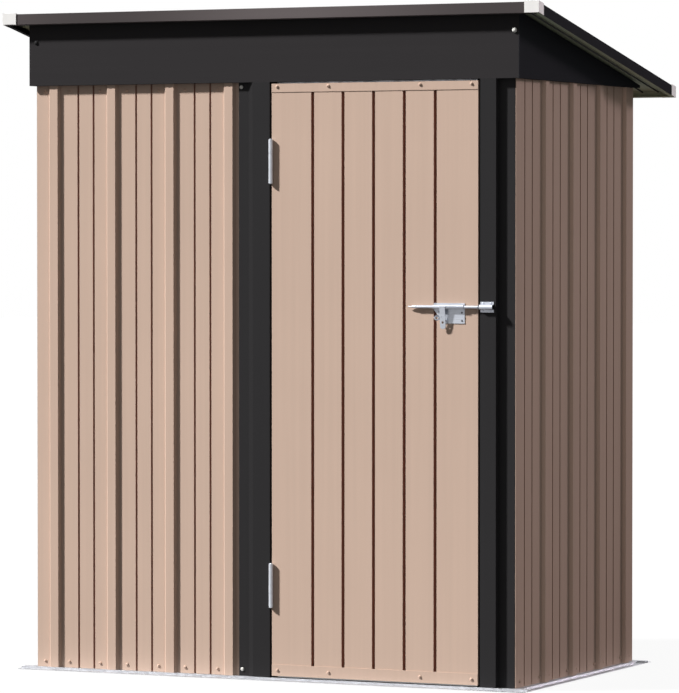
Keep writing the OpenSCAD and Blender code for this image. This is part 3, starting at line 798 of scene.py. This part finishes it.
@dataclass
class RoofCrown:
    """Ribbed roof sheets in four trim channels with white caps on the corners."""

    sheets: list[str] = field(
        default_factory=lambda: ["roof_sheet_left", "roof_sheet_middle", "roof_sheet_right"]
    )
    screw_columns: list[float] = field(
        default_factory=lambda: [-0.72, -0.54, -0.36, -0.18, 0.0, 0.18, 0.36, 0.54, 0.72]
    )
    screw_rows: tuple[float, float, float] = (-0.440, -0.006, 0.370)
    caps: list[str] = field(default_factory=lambda: [
        "roof_cap_front_left", "roof_cap_front_right", "roof_cap_back_left", "roof_cap_back_right",
    ])
    above: float = 2.2

    def build(self) -> None:
        """Paint the roof and seat its sealed screws over the fascia, the beam and the back wall."""
        dress(BLACK_ROOF, *self.sheets)
        dress(TRIM_FRONT_SHEEN, "roof_trim_front")
        dress(TRIM_SIDE, "roof_trim_left")
        dress(TRIM_RIGHT, "roof_trim_right")
        dress(TRIM_BACK, "roof_trim_back")
        dress(WHITE_CAP, *self.caps)
        starts = [(x, y, self.above) for x, y in crossed(self.screw_columns, list(self.screw_rows))]
        ROOF_SCREW.row("roof_screws", self.sheets, starts, (0, 0, -1), BLACK_HEAD, Body.SHELL, Slot.BLACK)


@dataclass
class Door:
    """Folded door tray with pressed grooves, caps at its ends and braces behind."""

    cap_columns: list[float] = field(default_factory=lambda: [0.0285, 0.181, 0.4505, 0.600])
    top_row: float = 1.603
    bottom_row: float = 0.0270
    reach: float = 1.2

    def build(self) -> None:
        """Paint the door and seat the screws of its caps."""
        dress(TAN_DOOR, "door_panel", "door_top_cap", "door_bottom_shoe", "door_braces")
        rows = [self.top_row, self.bottom_row]
        starts = [(x, -self.reach, z) for x, z in crossed(self.cap_columns, rows)]
        caps = ["door_top_cap", "door_bottom_shoe"]
        SHEET_SCREW.row("door_cap_screws", caps, starts, (0, 1, 0), TAN_HEAD, Body.DOOR, Slot.TAN)


@dataclass
class Hinges:
    """Two plated barrel hinges with domed pin ends."""

    axis_x: float = 0.0118
    axis_y: float = -0.4814
    pin: ScrewHead = ScrewHead(radius=0.0042, rise=0.0017, skirt=0.0004, cross=False)
    leaves: tuple[str, ...] = (
        "hinge_frame_leaf_upper", "hinge_frame_leaf_lower",
        "hinge_door_leaf_upper", "hinge_door_leaf_lower",
    )

    def build(self) -> None:
        """Plate the leaves and set a domed pin head on both ends of each barrel."""
        dress(PLATED_PIN, *self.leaves)
        boxes = [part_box(n) for n in self.leaves if "frame" in n]
        tops = [(self.axis_x, self.axis_y, high.z) for low, high in boxes]
        feet = [(self.axis_x, self.axis_y, low.z) for low, high in boxes]
        up = [(0.0, 0.0, 1.0)] * len(tops)
        down = [(0.0, 0.0, -1.0)] * len(feet)
        pins = self.pin.surface().placed(np.array(tops + feet, float), np.array(up + down, float))
        pins.piece("hinge_pin_heads", PLATED_PIN, Body.SHELL, Slot.HARDWARE)


@dataclass
class Latch:
    """Pad bolt: case and bolt on the door, keeper on the right post."""

    case_screws: tuple[tuple[float, float], ...] = (
        (0.507, 1.000), (0.524, 0.9756), (0.572, 0.9765), (0.572, 0.998),
    )
    keeper_columns: tuple[float, float] = (0.6333, 0.6553)
    keeper_rows: tuple[float, float] = (1.0024, 1.0236)
    reach: float = 1.2

    def build(self) -> None:
        """Plate the latch and seat its screws."""
        dress(PLATED, "latch_case", "latch_bolt", "latch_keeper")
        case = [(x, -self.reach, z) for x, z in self.case_screws]
        inwards = (0, 1, 0)
        LATCH_SCREW.row(
            "latch_case_screws", ["latch_case"], case, inwards, DARK_HEAD, Body.DOOR, Slot.HARDWARE
        )
        feet = [(x, -self.reach, z) for x, z in crossed(list(self.keeper_columns), list(self.keeper_rows))]
        LATCH_RIVET.row("keeper_rivets", ["latch_keeper"], feet, inwards, PLATED, Body.SHELL, Slot.HARDWARE)


@dataclass
class Rails:
    """Galvanised base rails, and the rails and beam inside."""

    base: tuple[str, ...] = ("base_rail_back", "base_rail_left", "base_rail_right")
    inside: tuple[str, ...] = (
        "top_rail_front", "top_rail_back", "top_rail_left", "top_rail_right",
        "mid_rail_left", "mid_rail_right", "mid_rail_back", "roof_beam",
    )

    def build(self) -> None:
        """Give the rails their zinc, of which the front one is a darker copy: painted shade that tones down
        the key light on it.
        """
        dress(ZINC_FRONT_SHADED, "base_rail_front")
        dress(ZINC_RAIL, *self.base, *self.inside)


@dataclass
class Studio:
    """Pale floor, white background, a key light at the left front and a weak one at the right back."""

    floor_half: float = 45.0
    floor_drop: float = 0.0004
    floor_tone: float = 0.78
    shadow_share: float = 0.06
    indoor_share: float = 0.75
    indoor_sky: tuple[float, float] = (0.1, 0.45)
    sky_reach: float = 3.0
    bounce: float = 0.08
    ambient: float = 0.20
    lamp_away: float = 8.0
    key_strength: float = 6.75
    key_turn: float = 60.0
    key_height: float = 41.0
    key_angle: float = 4.5
    key_colour: Rgb = (1.0, 1.0, 1.0)
    fill_strength: float = 1.15
    fill_turn: float = -155.2
    fill_height: float = 12.0
    fill_angle: float = 9.0
    fill_colour: Rgb = (1.0, 0.86, 0.92)

    @staticmethod
    def shown(graph: Graph) -> bpy.types.NodeSocket:
        """Give a socket that is 1 for rays from the eye, a reflection or through glass, else 0."""
        path = graph.add("ShaderNodeLightPath").outputs
        links = {"0": path["Is Glossy Ray"], "1": path["Is Transmission Ray"]}
        mirror = graph.add("ShaderNodeMath", links, operation="MAXIMUM").outputs["Value"]
        links = {"0": path["Is Camera Ray"], "1": mirror}
        return graph.add("ShaderNodeMath", links, operation="MAXIMUM").outputs["Value"]

    def floor(self) -> None:
        """Lay a square floor that shows white but for a share of real shade; under a roof an occlusion mask
        lets less white glow show, a painted shade.
        """
        graph = Graph.named("pale_floor")
        glow = graph.add("ShaderNodeEmission", {"Color": (1, 1, 1, 1), "Strength": 1.0})
        shade = graph.add("ShaderNodeBsdfDiffuse", {"Color": (self.floor_tone,) * 3 + (1,)})
        # painted shade: where the sky is shut within sky_reach, less of the white glow shows
        sky = graph.add("ShaderNodeAmbientOcclusion", {"Distance": self.sky_reach}, samples=8)
        share = graph.add("ShaderNodeMapRange", {
            "Value": sky.outputs["AO"], "From Min": self.indoor_sky[0], "From Max": self.indoor_sky[1],
            "To Min": self.indoor_share, "To Max": self.shadow_share,
        })
        seen = graph.add("ShaderNodeMixShader", {
            "Fac": share.outputs["Result"], "1": glow.outputs[0], "2": shade.outputs[0],
        })
        dull = graph.add("ShaderNodeBsdfDiffuse", {"Color": (self.bounce,) * 3 + (1,)})
        both = graph.add("ShaderNodeMixShader", {
            "Fac": self.shown(graph), "1": dull.outputs[0], "2": seen.outputs[0],
        })
        half = self.floor_half
        corner = np.array([[-half, -half], [half, -half], [half, half], [-half, half]])
        verts = np.column_stack([corner, np.full(4, -self.floor_drop)])
        mesh = bpy.data.meshes.new("studio_floor")
        mesh.from_pydata(verts.tolist(), [], [[0, 1, 2, 3]])
        mesh.materials.append(graph.close(both))
        floor = bpy.data.objects.new("studio_floor", mesh)
        bpy.context.scene.collection.objects.link(floor)

    def world(self) -> None:
        """Make the world white to the eye and dim to everything it lights."""
        world = bpy.data.worlds.new("studio_world")
        bpy.context.scene.world = world
        graph = Graph(world)
        dim = graph.add("ShaderNodeBackground", {"Color": (1, 1, 1, 1), "Strength": self.ambient})
        white = graph.add("ShaderNodeBackground", {"Color": (1, 1, 1, 1), "Strength": 1.0})
        both = graph.add("ShaderNodeMixShader", {
            "Fac": self.shown(graph), "1": dim.outputs[0], "2": white.outputs[0],
        })
        graph.add("ShaderNodeOutputWorld", {"Surface": both.outputs[0]})

    def sun(
        self, name: str, turn: float, height: float, strength: float, angle: float, colour: Rgb
    ) -> None:
        """Hang a far lamp.

        Args:
            name: the lamp's name.
            turn: degrees round the shed from its front, to the left.
            height: degrees over the ground.
            strength: its light in watts on a square metre.
            angle: how wide it looks, in degrees.
            colour: its light's colour.
        """
        round_by, up = math.radians(turn), math.radians(height)
        flat = math.cos(up)
        towards = Vector((-math.sin(round_by) * flat, -math.cos(round_by) * flat, math.sin(up)))
        lamp = bpy.data.lights.new(name, "SUN")
        lamp.energy = strength
        lamp.color = colour
        lamp.angle = math.radians(angle)
        thing = bpy.data.objects.new(name, lamp)
        thing.location = towards * self.lamp_away
        thing.rotation_euler = towards.to_track_quat("Z", "Y").to_euler()
        bpy.context.scene.collection.objects.link(thing)

    def build(self) -> None:
        """Set up floor, background and lamps."""
        bpy.context.scene.view_settings.view_transform = "Standard"
        self.floor()
        self.world()
        self.sun(
            "key_lamp", self.key_turn, self.key_height, self.key_strength, self.key_angle, self.key_colour
        )
        self.sun(
            "fill_lamp", self.fill_turn, self.fill_height, self.fill_strength, self.fill_angle,
            self.fill_colour,
        )


@dataclass
class PhotoCamera:
    """The viewpoint of the photograph."""

    place: Rgb = (5.1885, -11.0714, 1.1993)
    tilt: float = 88.558
    pan: float = 25.15
    lens: float = 226.87

    def build(self) -> None:
        """Make the camera and set it as the scene's own."""
        camera = bpy.data.cameras.new("photo_camera")
        camera.lens = self.lens
        camera.sensor_width = 36.0
        camera.clip_end = 200.0
        thing = bpy.data.objects.new("photo_camera", camera)
        thing.location = self.place
        thing.rotation_euler = (math.radians(self.tilt), 0.0, math.radians(self.pan))
        bpy.context.scene.collection.objects.link(thing)
        bpy.context.scene.camera = thing


def main() -> None:
    """Build the shed's looks in order."""
    logging.basicConfig(level=logging.INFO, format="%(name)s %(message)s")
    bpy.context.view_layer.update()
    bpy.context.view_layer.update()
    PhotoCamera().build()
    Studio().build()
    for assembly in (Rails(), Walls(), FrontFrame(), RoofCrown(), Door(), Hinges(), Latch()):
        LOG.info("building %s", type(assembly).__name__)
        assembly.build()


if __name__ == "__main__":
    main()
